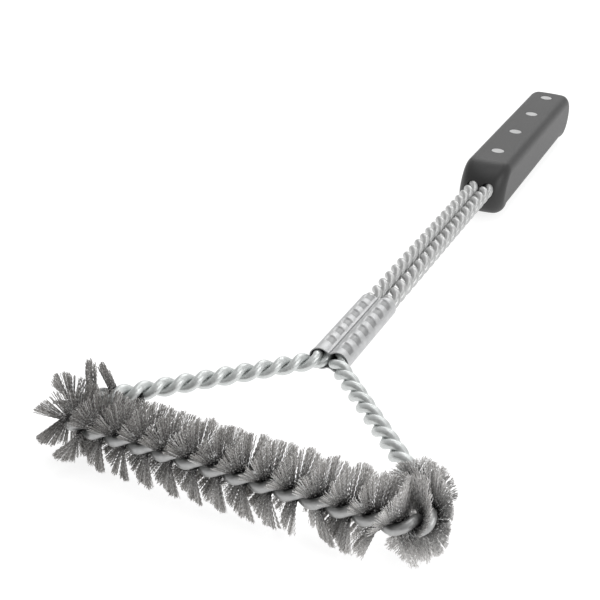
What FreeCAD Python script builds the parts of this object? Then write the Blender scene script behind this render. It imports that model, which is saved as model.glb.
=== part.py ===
import FreeCAD, Part
import math
import os

import Sketcher

# Grill cleaning brush: a twisted pair of steel wires bent into a triangular head with two parallel
# rods, bristle tufts clamped between the wires, a sheet-metal ferrule where the rods meet the arms,
# and a moulded handle.  Millimetres.  X runs along the crossbar, Y from the head towards the handle
# and Z up.  Everything is drawn with the middle of the crossbar's axis at (0, 0, 0), then each
# sub-part's Placement carries it to the finished frame: the middle of the underside at the origin.

os.makedirs("parts", exist_ok=True)
doc = FreeCAD.newDocument("grill_brush")
Vector = FreeCAD.Vector

# ---------------------------------------------------------------------------------------------
# Driving dimensions
# ---------------------------------------------------------------------------------------------
SIZES = [
    # the two wires and the rope that they make
    ("wire_diameter", 4.2, "each of the two wires"),
    ("strand_spacing", 4.28, "between the two wires' centres, across the rope"),
    ("rod_lay", 9.0, "length of half a turn of the twist on the rods and arms"),
    ("head_lay", 10.6, "length of half a turn of the twist on the crossbar"),
    # the bent frame, on the rope's centre line
    ("rod_spacing", 8.65, "between the two rods' centre lines"),
    ("head_span", 181.4, "between the two sharp corners of the triangle"),
    ("arm_rise", 93.5, "from the crossbar to the two bends under the ferrule"),
    ("corner_radius", 10.8, "bend at each end of the crossbar"),
    ("shoulder_radius", 6.3, "bend under the ferrule"),
    ("rod_end", 428.0, "from the crossbar to the rods' ends inside the handle"),
    # where a crown falls, one wire straight above the other, so that the lay is unbroken at the bends
    ("crown_crossbar", -64.1, "a crown on the crossbar, along X"),
    ("crown_left_arm", 9.7, "a crown on the left arm, below its upper bend"),
    ("crown_right_arm", 13.6, "a crown on the right arm, below its upper bend"),
    ("crown_left_rod", 174.4, "a crown on the left rod, along Y"),
    ("crown_right_rod", 167.6, "a crown on the right rod, along Y"),
    # bristles
    ("bristle_reach", 19.4, "from the rope's centre line to the bristle tips"),
    ("fan_root", 4.6, "from the rope's centre line to where a fan starts"),
    ("fan_thickness", 1.4, "of one packed fan of bristles"),
    ("bare_left_arm", 81.0, "of the left arm without bristles, from its upper bend"),
    ("bare_right_arm", 81.6, "of the right arm without bristles, from its upper bend"),
    # ferrule
    ("ferrule_front", 94.3, "from the crossbar to the ferrule's open front"),
    ("ferrule_length", 61.0, "along the rods"),
    ("ferrule_wall", 0.6, "sheet thickness"),
    ("ferrule_bore", 4.45, "inner radius round each rod"),
    ("valley_round", 1.2, "rounding of the pressed valley between the two humps"),
    # handle: its outline seen from the side, its width and its rounding
    ("handle_front", 324.0, "from the crossbar to the handle's foremost point"),
    ("handle_length", 187.2, "foremost to rearmost point"),
    ("handle_width", 28.7, "across the flat sides"),
    ("handle_top", 14.0, "the flat top above the rods' plane"),
    ("handle_belly", 15.4, "the belly below the rods' plane"),
    ("handle_bottom", 17.0, "the finger stop and the pommel below the rods' plane"),
    ("nose_round", 21.2, "radius of the curved front"),
    ("lip_round", 11.6, "radius of the finger stop under the front"),
    ("belly_blend", 10.0, "rounding between the belly and the finger stop or pommel"),
    ("edge_round", 6.0, "rounding of the handle's edges"),
    ("socket_clearance", 0.12, "between the rods and their socket"),
    ("plug_diameter", 8.0, "round plugs in the handle's top"),
    ("plug_depth", 6.0, "of each plug"),
    ("plug_first", 360.7, "from the crossbar to the first plug"),
    ("plug_spacing", 41.6, "from plug to plug"),
    ("plug_clearance", 0.05, "between a plug and its hole"),
]
PLUG_COUNT = 4

sheet = doc.addObject("Spreadsheet::Sheet", "Sizes")
for row, (alias, value, note) in enumerate(SIZES, start=1):
    sheet.set(f"A{row}", alias.replace("_", " "))
    sheet.set(f"B{row}", str(value))
    sheet.set(f"C{row}", note)
    sheet.setAlias(f"B{row}", alias)
doc.recompute()


def size(alias):
    """The value of one cell of the sheet."""
    return float(getattr(sheet, alias))


# ---------------------------------------------------------------------------------------------
# The rope's centre line
# ---------------------------------------------------------------------------------------------
# It is measured from the middle of the crossbar: positive to the right, round the right corner, up
# the right arm and rod; negative the same way on the left.  Each side is straight, arc, straight,
# arc, straight, so one function gives the right-hand side and the left is its mirror image.

half_span = size("head_span") / 2
half_rods = size("rod_spacing") / 2
arm_run = half_span - half_rods
ARM_LENGTH = math.hypot(arm_run, size("arm_rise"))
ARM_ANGLE = math.atan2(size("arm_rise"), arm_run)
CORNER_TURN = math.pi - ARM_ANGLE
SHOULDER_TURN = math.pi / 2 - ARM_ANGLE
corner_tangent = size("corner_radius") * math.tan(CORNER_TURN / 2)
shoulder_tangent = size("shoulder_radius") * math.tan(SHOULDER_TURN / 2)
CROSSBAR_END = half_span - corner_tangent
CORNER_END = CROSSBAR_END + size("corner_radius") * CORNER_TURN
ARM_END = CORNER_END + ARM_LENGTH - corner_tangent - shoulder_tangent
SHOULDER_END = ARM_END + size("shoulder_radius") * SHOULDER_TURN
ROD_START_Y = size("arm_rise") + shoulder_tangent
ROPE_END = SHOULDER_END + size("rod_end") - ROD_START_Y
ARM_TOP = ARM_END + shoulder_tangent


def right_side(distance):
    """Point and heading (radians from +X) at a distance of zero or more from the crossbar's middle."""
    if distance <= CROSSBAR_END:
        return Vector(distance, 0, 0), 0.0
    if distance <= CORNER_END:
        heading = (distance - CROSSBAR_END) / size("corner_radius")
        radius = size("corner_radius")
        return Vector(CROSSBAR_END + radius * math.sin(heading), radius * (1 - math.cos(heading)), 0), heading
    if distance <= ARM_END:
        left_over = distance - CORNER_END + corner_tangent
        across = half_span - left_over * math.cos(ARM_ANGLE)
        return Vector(across, left_over * math.sin(ARM_ANGLE), 0), CORNER_TURN
    if distance <= SHOULDER_END:
        turned = (distance - ARM_END) / size("shoulder_radius")
        radius = size("shoulder_radius")
        centre = Vector(half_rods + radius, ROD_START_Y, 0)
        heading = CORNER_TURN - turned
        return centre + Vector(-math.sin(heading), math.cos(heading), 0) * radius, heading
    return Vector(half_rods, ROD_START_Y + distance - SHOULDER_END, 0), math.pi / 2


def rope_frame(distance):
    """Centre point, tangent and in-plane normal of the rope, the tangent towards the right rod's end."""
    point, heading = right_side(abs(distance))
    if distance < 0:
        point = Vector(-point.x, point.y, 0)
        heading = -heading
    tangent = Vector(math.cos(heading), math.sin(heading), 0)
    normal = Vector(-tangent.y, tangent.x, 0)
    return point, tangent, normal


# ---------------------------------------------------------------------------------------------
# The twist
# ---------------------------------------------------------------------------------------------
# The lay is left-handed everywhere.  It is counted in half-turns from the rope's in-plane normal:
# n + 0.5 half-turns is a crown.  Straight stretches have an even lay, and the twist eases from one
# stretch to the next round the corners and inside the ferrule.

FERRULE_BACK = SHOULDER_END + size("ferrule_front") + size("ferrule_length") - ROD_START_Y


def crown_line(crown, lay, distance):
    """Half-turns at a distance along a straight stretch with an even lay and one known crown."""
    return 0.5 - (distance - crown) / lay


def nearest_match(value, target):
    """The value moved by whole half-turns as close as it gets to the target."""
    return value + round(target - value)


def twist_knots(side):
    """Ends of the eased stretches on one side: (distance, half-turns, change per mm) each."""
    name = "right" if side > 0 else "left"
    head_lay = size("head_lay")
    rod_lay = size("rod_lay")
    arm_crown = side * (ARM_TOP - size(f"crown_{name}_arm"))
    rod_crown = side * (SHOULDER_END + size(f"crown_{name}_rod") - ROD_START_Y)
    knots = []
    distance = side * CROSSBAR_END
    turns = crown_line(size("crown_crossbar"), head_lay, distance)
    knots.append((distance, turns, -1 / head_lay))
    eased = side * (CORNER_END - CROSSBAR_END) / ((head_lay + rod_lay) / 2)
    distance = side * CORNER_END
    turns = nearest_match(crown_line(arm_crown, rod_lay, distance), turns - eased)
    knots.append((distance, turns, -1 / rod_lay))
    distance = side * ARM_END
    turns -= side * (ARM_END - CORNER_END) / rod_lay
    knots.append((distance, turns, -1 / rod_lay))
    eased = side * (FERRULE_BACK - ARM_END) / rod_lay
    distance = side * FERRULE_BACK
    turns = nearest_match(crown_line(rod_crown, rod_lay, distance), turns - eased)
    knots.append((distance, turns, -1 / rod_lay))
    return knots


KNOTS = sorted(twist_knots(-1) + twist_knots(1))


def half_turns(distance):
    """Half-turns of the twist at a distance along the rope, falling steadily from left to right."""
    first = KNOTS[0]
    last = KNOTS[-1]
    if distance <= first[0]:
        return first[1] + first[2] * (distance - first[0])
    if distance >= last[0]:
        return last[1] + last[2] * (distance - last[0])
    for (start, turns_a, rate_a), (end, turns_b, rate_b) in zip(KNOTS, KNOTS[1:]):
        if start <= distance <= end:
            span = end - start
            part = (distance - start) / span
            return ((2 * part ** 3 - 3 * part ** 2 + 1) * turns_a
                    + (part ** 3 - 2 * part ** 2 + part) * span * rate_a
                    + (3 * part ** 2 - 2 * part ** 3) * turns_b
                    + (part ** 3 - part ** 2) * span * rate_b)


def spoke(distance, quarter=0):
    """Unit vector from the rope's centre to wire a, or across the gap between the wires (quarter=1)."""
    normal = rope_frame(distance)[2]
    angle = math.pi * (half_turns(distance) + 0.5 * quarter)
    return normal * math.cos(angle) + Vector(0, 0, math.sin(angle))


# ---------------------------------------------------------------------------------------------
# The two wires
# ---------------------------------------------------------------------------------------------
ARC_PAIRS_PER_HALF_TURN = 3


def arc_between(start, corner, end):
    """The arc that is tangent to start-corner and corner-end, both the same length."""
    to_start = (start - corner).normalize()
    to_end = (end - corner).normalize()
    half_angle = to_start.getAngle(to_end) / 2
    leg = (start - corner).Length
    radius = leg * math.tan(half_angle)
    bisector = (to_start + to_end).normalize()
    middle = corner + bisector * (radius / math.sin(half_angle) - radius)
    return Part.Arc(start, middle, end).toShape()


def arc_pair(start, heading, end, end_heading):
    """Two arcs, tangent to each other, that leave start and reach end with the given headings."""
    chord = end - start
    both = heading + end_heading
    square = 2 * (1 - heading.dot(end_heading))
    linear = 2 * chord.dot(both)
    reach = (-linear + math.sqrt(linear ** 2 + 4 * square * chord.dot(chord))) / (2 * square)
    first_corner = start + heading * reach
    last_corner = end - end_heading * reach
    middle = (first_corner + last_corner) * 0.5
    return [arc_between(start, first_corner, middle), arc_between(middle, last_corner, end)]


def make_strand(label, side):
    """One wire of the pair: a round bar swept along tangent arcs that follow its twisted line."""
    count = round(2 * ROPE_END / size("rod_lay") * ARC_PAIRS_PER_HALF_TURN)
    stations = [-ROPE_END + 2 * ROPE_END * index / count for index in range(count + 1)]
    offset = side * size("strand_spacing") / 2
    points = [rope_frame(place)[0] + spoke(place) * offset for place in stations]
    line = Part.BSplineCurve()
    line.interpolate(Points=points, Parameters=stations)
    headings = [line.tangent(place)[0] for place in stations]
    arcs = []
    for index in range(count):
        arcs += arc_pair(points[index], headings[index], points[index + 1], headings[index + 1])
    section = Part.Face(Part.Wire(Part.makeCircle(size("wire_diameter") / 2, points[0], headings[0])))
    strand = doc.addObject("Part::Feature", label)
    strand.Shape = Part.Wire(arcs).makePipe(section)
    return strand


# ---------------------------------------------------------------------------------------------
# The bristle tufts
# ---------------------------------------------------------------------------------------------
# A tuft is clamped in its middle between the wires, so its fans follow the gap between them: each
# tuft turns half a turn about the rope.  Its squeezed middle is too thin to hold as a solid, so a
# tuft is its two fans.  Inside a corner the fans stop short of the plane that halves the corner,
# where the crossbar's bristles and the arm's meet.

FAN_SECTIONS = 11
FAN_GAP = 0.05
BISECTOR_SHARE = 0.86


def place_of(turns):
    """The distance along the rope where the gap between the wires has made this many half-turns."""
    low = -ROPE_END
    high = ROPE_END
    while high - low > 1e-6:
        middle = (low + high) / 2
        if half_turns(middle) + 0.5 > turns:
            low = middle
        else:
            high = middle
    return (low + high) / 2


def fan_reach(distance, direction):
    """Bristle length in a direction, cut short where it would cross the plane halving a corner."""
    side = 1 if distance > 0 else -1
    plane_normal = Vector(side * math.sin(ARM_ANGLE / 2), math.cos(ARM_ANGLE / 2), 0)
    point = rope_frame(distance)[0]
    gap = (Vector(side * half_span, 0, 0) - point).dot(plane_normal)
    closing = direction.dot(plane_normal)
    if gap < 0:
        gap, closing = -gap, -closing
    if closing <= 0:
        return size("bristle_reach")
    return min(size("bristle_reach"), BISECTOR_SHARE * gap / closing)


def make_fan(first_turn, side):
    """One fan: thin sections that turn half a turn about the rope, joined by ruled faces."""
    sections = []
    for index in range(FAN_SECTIONS):
        share = FAN_GAP + (1 - 2 * FAN_GAP) * index / (FAN_SECTIONS - 1)
        distance = place_of(first_turn - share)
        point, tangent, normal = rope_frame(distance)
        direction = spoke(distance, quarter=1) * side
        across = tangent.cross(direction) * (size("fan_thickness") / 2)
        root = point + direction * size("fan_root")
        tip = point + direction * max(fan_reach(distance, direction), size("fan_root") + 1)
        sections.append(Part.makePolygon([root - across, tip - across, tip + across, root + across,
                                          root - across]))
    return Part.makeLoft(sections, True, True)


def make_tufts():
    """A tuft for every half-turn of the rope between the bare parts of the two arms."""
    left_end = -(ARM_TOP - size("bare_left_arm"))
    right_end = ARM_TOP - size("bare_right_arm")
    first_turn = math.floor(half_turns(left_end) + 0.5)
    last_turn = math.ceil(half_turns(right_end) + 0.5)
    tufts = []
    for number, turn in enumerate(range(first_turn, last_turn, -1), start=1):
        tuft = doc.addObject("Part::Feature", f"tuft_{number:02d}")
        tuft.Shape = Part.makeCompound([make_fan(turn, 1), make_fan(turn, -1)])
        tufts.append(tuft)
    return tufts


# ---------------------------------------------------------------------------------------------
# Sketching helpers
# ---------------------------------------------------------------------------------------------

def new_body(label):
    """A PartDesign body."""
    body = doc.addObject("PartDesign::Body", label)
    body.Label = label
    return body


def new_sketch(body, name, plane, offset=None):
    """A sketch on one of the body's own origin planes, moved along the plane's normal by offset."""
    sketch = body.newObject("Sketcher::SketchObject", name)
    support = [item for item in body.Origin.OriginFeatures if item.Role == plane][0]
    sketch.AttachmentSupport = [(support, "")]
    sketch.MapMode = "FlatFace"
    if offset:
        sketch.setExpression("AttachmentOffset.Base.z", offset)
    return sketch


def bind(sketch, kind, *places, expression):
    """Add a dimension to a sketch and bind it to the sheet."""
    value = float(sketch.evalExpression(expression))
    number = sketch.addConstraint(Sketcher.Constraint(kind, *places, value))
    sketch.setExpression(f"Constraints[{number}]", expression)


def pin(sketch, curve, point, across, along):
    """Hold one point of a curve at sheet-bound distances from the sketch's origin."""
    bind(sketch, "DistanceX", -1, 1, curve, point, expression=across)
    bind(sketch, "DistanceY", -1, 1, curve, point, expression=along)


# ---------------------------------------------------------------------------------------------
# The ferrule
# ---------------------------------------------------------------------------------------------

def rod_pair(name, radius, front, length):
    """Two round bars round the rods' centre lines, fused: radius, front and length are expressions."""
    bars = []
    for side, sign in (("left", "-"), ("right", "+")):
        bar = doc.addObject("Part::Cylinder", f"{name}_{side}")
        bar.Placement.Rotation = FreeCAD.Rotation(Vector(1, 0, 0), -90)
        bar.setExpression("Radius", radius)
        bar.setExpression("Height", length)
        bar.setExpression("Placement.Base.x", f"0 {sign} Sizes.rod_spacing / 2")
        bar.setExpression("Placement.Base.y", front)
        bars.append(bar)
    pair = doc.addObject("Part::MultiFuse", name)
    pair.Shapes = bars
    return pair


def make_ferrule():
    """The sheet sleeve: two humps over the rods with a valley between them, top and bottom."""
    front = "Sizes.ferrule_front"
    length = "Sizes.ferrule_length"
    outside = rod_pair("ferrule_outside", "Sizes.ferrule_bore + Sizes.ferrule_wall", front, length)
    inside = rod_pair("ferrule_inside", "Sizes.ferrule_bore", front, length)
    sleeve = doc.addObject("Part::Cut", "ferrule_sleeve")
    sleeve.Base = outside
    sleeve.Tool = inside
    doc.recompute()
    radius = size("ferrule_bore") + size("ferrule_wall")
    valley_height = math.sqrt(radius ** 2 - half_rods ** 2)
    ferrule = doc.addObject("Part::Fillet", "ferrule")
    ferrule.Base = sleeve
    ferrule.Edges = [(number, size("valley_round"), size("valley_round"))
                     for number, edge in enumerate(sleeve.Shape.Edges, start=1)
                     if edge.Length > size("ferrule_length") - 1
                     and abs(abs(edge.CenterOfMass.z) - valley_height) < 0.01
                     and abs(edge.CenterOfMass.x) < 0.01]
    return ferrule


# ---------------------------------------------------------------------------------------------
# The handle and its plugs
# ---------------------------------------------------------------------------------------------

def side_outline(sketch):
    """The handle seen from the side: flat top, round tail and pommel, belly, finger stop and nose."""
    front = size("handle_front")
    rear = front + size("handle_length")
    top = size("handle_top")
    belly = -size("handle_belly")
    bottom = size("handle_bottom")
    nose = size("nose_round")
    lip = size("lip_round")
    nose_height = top - nose
    tail = (top + bottom) / 2
    lip_height = lip - bottom
    lip_ahead = math.sqrt((nose - lip) ** 2 - (nose_height - lip_height) ** 2)
    arcs = {
        "nose": ((front + nose, nose_height), nose),
        "tail": ((rear - tail, top - tail), tail),
        "lip": ((front + nose - lip_ahead, lip_height), lip),
    }

    def level_point(name, height, sign):
        """Where an arc passes a height, on its front (-1) or rear (+1) side."""
        (across, along), radius = arcs[name]
        return across + sign * math.sqrt(radius ** 2 - (height - along) ** 2), height

    top_front = (front + nose, top)
    top_rear = (rear - tail, top)
    tail_foot = level_point("tail", belly, -1)
    lip_rear = level_point("lip", belly, 1)
    share = nose / (nose - lip)
    nose_foot = (front + nose - lip_ahead * share, nose_height + (lip_height - nose_height) * share)

    def arc(name, start, end):
        """One arc, run anticlockwise from start to end."""
        (across, along), radius = arcs[name]
        circle = Part.Circle(Vector(across, along, 0), Vector(0, 0, 1), radius)
        angles = [math.atan2(point[1] - along, point[0] - across) for point in (start, end)]
        return Part.ArcOfCircle(circle, *angles)

    def line(start, end):
        """One straight line."""
        return Part.LineSegment(Vector(*start, 0), Vector(*end, 0))

    curves = [line(top_rear, top_front), arc("nose", top_front, nose_foot),
              arc("lip", nose_foot, lip_rear), line(lip_rear, tail_foot),
              arc("tail", tail_foot, top_rear)]
    sketch.addGeometry(curves)
    for index in range(len(curves)):
        kind = "Tangent" if index in (0, 1, 4) else "Coincident"
        sketch.addConstraint(Sketcher.Constraint(kind, index, 2, (index + 1) % len(curves), 1))
    bind(sketch, "DistanceX", -1, 1, 1, 3, expression="Sizes.handle_front + Sizes.nose_round")
    tail_radius = "(Sizes.handle_top + Sizes.handle_bottom) / 2"
    bind(sketch, "DistanceX", -1, 1, 4, 3,
         expression=f"Sizes.handle_front + Sizes.handle_length - {tail_radius}")
    bind(sketch, "DistanceY", -1, 1, 2, 3, expression="Sizes.lip_round - Sizes.handle_bottom")
    for curve, radius in ((1, "Sizes.nose_round"), (2, "Sizes.lip_round"), (4, tail_radius)):
        bind(sketch, "Radius", curve, expression=radius)
    for curve, height in ((0, "Sizes.handle_top"), (3, "0 - Sizes.handle_belly")):
        sketch.addConstraint(Sketcher.Constraint("Horizontal", curve))
        bind(sketch, "DistanceY", -1, 1, curve, 1, expression=height)


def socket_outline(sketch):
    """Seen from the front: the opening that both rods run into, round at its left and right."""
    radius = (size("strand_spacing") + size("wire_diameter")) / 2 + size("socket_clearance")
    right = Part.ArcOfCircle(Part.Circle(Vector(half_rods, 0, 0), Vector(0, 0, 1), radius),
                             -math.pi / 2, math.pi / 2)
    left = Part.ArcOfCircle(Part.Circle(Vector(-half_rods, 0, 0), Vector(0, 0, 1), radius),
                            math.pi / 2, 3 * math.pi / 2)
    top = Part.LineSegment(Vector(half_rods, radius, 0), Vector(-half_rods, radius, 0))
    bottom = Part.LineSegment(Vector(-half_rods, -radius, 0), Vector(half_rods, -radius, 0))
    sketch.addGeometry([right, top, left, bottom])
    for curve in range(4):
        sketch.addConstraint(Sketcher.Constraint("Tangent", curve, 2, (curve + 1) % 4, 1))
    pin(sketch, 0, 3, "Sizes.rod_spacing / 2", "0")
    pin(sketch, 2, 3, "0 - Sizes.rod_spacing / 2", "0")
    bind(sketch, "Radius", 0,
         expression="(Sizes.strand_spacing + Sizes.wire_diameter) / 2 + Sizes.socket_clearance")


def edge_numbers(shape, wanted):
    """Names of the shape's edges that the test picks."""
    return [f"Edge{number}" for number, edge in enumerate(shape.Edges, start=1) if wanted(edge)]


def make_handle():
    """The moulded handle, with a socket for the rods and four blind holes for the plugs."""
    body = new_body("handle")
    blank_sketch = new_sketch(body, "side_view", "YZ_Plane")
    side_outline(blank_sketch)
    blank = body.newObject("PartDesign::Pad", "blank")
    blank.Profile = blank_sketch
    blank.Midplane = True
    blank.setExpression("Length", "Sizes.handle_width")

    doc.recompute()

    belly = -size("handle_belly")
    blend = body.newObject("PartDesign::Fillet", "belly_blends")
    blend.Base = (blank, edge_numbers(blank.Shape, lambda edge: (
        edge.BoundBox.YLength < 0.01 and abs(edge.CenterOfMass.z - belly) < 0.01)))
    blend.setExpression("Radius", "Sizes.belly_blend")
    doc.recompute()

    half = size("handle_width") / 2
    rounding = body.newObject("PartDesign::Fillet", "edge_rounding")
    rounding.Base = (blend, edge_numbers(blend.Shape, lambda edge: (
        abs(edge.CenterOfMass.x) > half - 0.01)))
    rounding.setExpression("Radius", "Sizes.edge_round")

    socket_sketch = new_sketch(body, "front_view", "XZ_Plane", offset="0 - Sizes.handle_front")
    socket_outline(socket_sketch)
    socket = body.newObject("PartDesign::Pocket", "socket")
    socket.Profile = socket_sketch
    socket.setExpression("Length", "Sizes.rod_end - Sizes.handle_front + Sizes.socket_clearance")

    hole_sketch = new_sketch(body, "top_view", "XY_Plane", offset="Sizes.handle_top")
    for number in range(PLUG_COUNT):
        place = size("plug_first") + number * size("plug_spacing")
        radius = size("plug_diameter") / 2
        hole_sketch.addGeometry(Part.Circle(Vector(0, place, 0), Vector(0, 0, 1), radius))
        pin(hole_sketch, number, 3, "0", f"Sizes.plug_first + {number} * Sizes.plug_spacing")
        bind(hole_sketch, "Radius", number, expression="Sizes.plug_diameter / 2 + Sizes.plug_clearance")
    holes = body.newObject("PartDesign::Pocket", "plug_holes")
    holes.Profile = hole_sketch
    holes.setExpression("Length", "Sizes.plug_depth + Sizes.plug_clearance")
    doc.recompute()
    return body


def make_plugs():
    """The four round plugs, flush with the handle's top."""
    plugs = []
    for number in range(PLUG_COUNT):
        plug = doc.addObject("Part::Cylinder", f"plug_{number + 1}")
        plug.setExpression("Radius", "Sizes.plug_diameter / 2")
        plug.setExpression("Height", "Sizes.plug_depth")
        plugs.append(plug)
    return plugs


# ---------------------------------------------------------------------------------------------
# The assembly
# ---------------------------------------------------------------------------------------------
# Drawn about the crossbar, everything moves so that the origin is the middle of the underside.

def make_parts():
    """Every sub-part, with the place of its own zero about the crossbar."""
    parts = [(make_strand("wire_strand_a", 1), Vector()), (make_strand("wire_strand_b", -1), Vector())]
    parts += [(tuft, Vector()) for tuft in make_tufts()]
    parts += [(make_ferrule(), Vector()), (make_handle(), Vector())]
    for number, plug in enumerate(make_plugs()):
        place = size("plug_first") + number * size("plug_spacing")
        parts.append((plug, Vector(0, place, size("handle_top") - size("plug_depth"))))
    return parts


parts = make_parts()
doc.recompute()
whole = FreeCAD.BoundBox()
for part, place in parts:
    part.Placement.Base = place
    whole.add(part.Shape.optimalBoundingBox(False))
home = Vector(-whole.Center.x, -whole.Center.y, -whole.ZMin)
for part, place in parts:
    part.Placement.Base = place + home
doc.recompute()

for item in doc.Objects:
    if "Invalid" in item.State or "Error" in item.State:
        raise RuntimeError(f"{item.Label} did not compute: {item.State}")
for part, place in parts:
    if part.Shape.isNull() or not part.Shape.isValid():
        raise RuntimeError(f"{part.Label} has no valid shape")
    part.Shape.exportStep(f"parts/{part.Label}.step")
    print(part.Label, round(part.Shape.Volume / 1000, 3), "cm3")
print("moved home by", home)
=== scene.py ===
import math

import bmesh
import bpy
import numpy as np
from mathutils import Matrix, Vector


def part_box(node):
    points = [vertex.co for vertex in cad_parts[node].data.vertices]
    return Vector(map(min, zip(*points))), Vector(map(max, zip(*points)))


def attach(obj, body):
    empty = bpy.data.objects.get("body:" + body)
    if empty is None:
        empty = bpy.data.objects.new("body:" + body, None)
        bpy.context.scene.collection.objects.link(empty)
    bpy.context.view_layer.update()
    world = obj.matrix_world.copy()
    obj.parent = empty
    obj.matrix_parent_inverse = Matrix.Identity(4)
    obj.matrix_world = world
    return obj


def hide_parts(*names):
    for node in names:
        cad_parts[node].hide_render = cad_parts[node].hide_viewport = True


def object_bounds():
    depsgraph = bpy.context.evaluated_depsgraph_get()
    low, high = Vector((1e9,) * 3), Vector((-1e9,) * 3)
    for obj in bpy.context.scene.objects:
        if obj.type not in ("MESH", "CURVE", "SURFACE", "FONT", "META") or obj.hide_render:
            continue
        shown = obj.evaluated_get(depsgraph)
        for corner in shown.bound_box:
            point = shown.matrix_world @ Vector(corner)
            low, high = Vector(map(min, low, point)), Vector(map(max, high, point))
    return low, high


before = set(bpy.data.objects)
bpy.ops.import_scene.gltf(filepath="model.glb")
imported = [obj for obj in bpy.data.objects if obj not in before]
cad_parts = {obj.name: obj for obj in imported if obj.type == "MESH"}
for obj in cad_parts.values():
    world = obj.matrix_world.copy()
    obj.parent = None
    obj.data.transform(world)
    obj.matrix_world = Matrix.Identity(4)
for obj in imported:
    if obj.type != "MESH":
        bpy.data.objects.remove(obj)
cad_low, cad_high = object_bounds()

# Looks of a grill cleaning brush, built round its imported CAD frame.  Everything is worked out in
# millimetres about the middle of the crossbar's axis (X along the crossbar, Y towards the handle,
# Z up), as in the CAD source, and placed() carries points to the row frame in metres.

MM = 0.001

# ---------------------------------------------------------------------------------------------
# Driving dimensions, in millimetres, as in the CAD source
# ---------------------------------------------------------------------------------------------
WIRE_DIAMETER = 4.2
STRAND_SPACING = 4.28
ROD_LAY = 9.0
HEAD_LAY = 10.6
ROD_SPACING = 8.65
HEAD_SPAN = 181.4
ARM_RISE = 93.5
CORNER_RADIUS = 10.8
SHOULDER_RADIUS = 6.3
ROD_END = 428.0
# Crowns, where one wire lies straight above the other: along the crossbar, and on the left (-1)
# and the right (1) arm and rod.
CROWN_CROSSBAR = -64.1
CROWN_ARM = {-1: 9.7, 1: 13.6}
CROWN_ROD = {-1: 174.4, 1: 167.6}
BRISTLE_REACH = 19.4
BARE_LEFT_ARM = 81.0
BARE_RIGHT_ARM = 81.6
FERRULE_FRONT = 94.3
FERRULE_LENGTH = 61.0
FERRULE_WALL = 0.6
FERRULE_BORE = 4.45
HANDLE_FRONT = 324.0
HANDLE_LENGTH = 187.2
HANDLE_WIDTH = 28.7
HANDLE_TOP = 14.0
HANDLE_BELLY = 15.4
HANDLE_BOTTOM = 17.0
NOSE_ROUND = 21.2
LIP_ROUND = 11.6
BELLY_BLEND = 10.0
PLUG_DIAMETER = 8.0
PLUG_COUNT = 4

ROPE_RADIUS = (STRAND_SPACING + WIRE_DIAMETER) / 2

# Where the middle of the crossbar's axis lies in the row frame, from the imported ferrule's box.
ferrule_low, ferrule_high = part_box("ferrule")
ferrule_middle = (ferrule_low + ferrule_high) / (2 * MM)
HOME = ferrule_middle - Vector((0, FERRULE_FRONT + FERRULE_LENGTH / 2, 0))


def placed(points):
    """Points in millimetres about the crossbar, as an array of metres in the row frame."""
    return (np.asarray(points, float) + np.array(HOME)) * MM


# ---------------------------------------------------------------------------------------------
# The rope's centre line and its twist, as in the CAD source
# ---------------------------------------------------------------------------------------------
half_span = HEAD_SPAN / 2
half_rods = ROD_SPACING / 2
arm_run = half_span - half_rods
ARM_ANGLE = math.atan2(ARM_RISE, arm_run)
CORNER_TURN = math.pi - ARM_ANGLE
SHOULDER_TURN = math.pi / 2 - ARM_ANGLE
corner_tangent = CORNER_RADIUS * math.tan(CORNER_TURN / 2)
shoulder_tangent = SHOULDER_RADIUS * math.tan(SHOULDER_TURN / 2)
CROSSBAR_END = half_span - corner_tangent
CORNER_END = CROSSBAR_END + CORNER_RADIUS * CORNER_TURN
ARM_END = CORNER_END + math.hypot(ARM_RISE, arm_run) - corner_tangent - shoulder_tangent
SHOULDER_END = ARM_END + SHOULDER_RADIUS * SHOULDER_TURN
ROD_START_Y = ARM_RISE + shoulder_tangent
ROPE_END = SHOULDER_END + ROD_END - ROD_START_Y
ARM_TOP = ARM_END + shoulder_tangent
FERRULE_BACK = SHOULDER_END + FERRULE_FRONT + FERRULE_LENGTH - ROD_START_Y


def right_side(distance):
    """Across, along and heading at a distance of zero or more from the crossbar's middle."""
    if distance <= CROSSBAR_END:
        return distance, 0.0, 0.0
    if distance <= CORNER_END:
        heading = (distance - CROSSBAR_END) / CORNER_RADIUS
        return (CROSSBAR_END + CORNER_RADIUS * math.sin(heading),
                CORNER_RADIUS * (1 - math.cos(heading)), heading)
    if distance <= ARM_END:
        left_over = distance - CORNER_END + corner_tangent
        return (half_span - left_over * math.cos(ARM_ANGLE),
                left_over * math.sin(ARM_ANGLE), CORNER_TURN)
    if distance <= SHOULDER_END:
        heading = CORNER_TURN - (distance - ARM_END) / SHOULDER_RADIUS
        return (half_rods + SHOULDER_RADIUS * (1 - math.sin(heading)),
                ROD_START_Y + SHOULDER_RADIUS * math.cos(heading), heading)
    return half_rods, ROD_START_Y + distance - SHOULDER_END, math.pi / 2


def rope_frame(distance):
    """Centre point, tangent and in-plane normal of the rope, the tangent towards the right rod."""
    across, along, heading = right_side(abs(distance))
    if distance < 0:
        across = -across
        heading = -heading
    tangent = np.array((math.cos(heading), math.sin(heading), 0.0))
    normal = np.array((-tangent[1], tangent[0], 0.0))
    return np.array((across, along, 0.0)), tangent, normal


def crown_line(crown, lay, distance):
    """Half-turns at a distance along a straight stretch with an even lay and one known crown."""
    return 0.5 - (distance - crown) / lay


def nearest_match(value, target):
    """The value moved by whole half-turns as close as it gets to the target."""
    return value + round(target - value)


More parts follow.
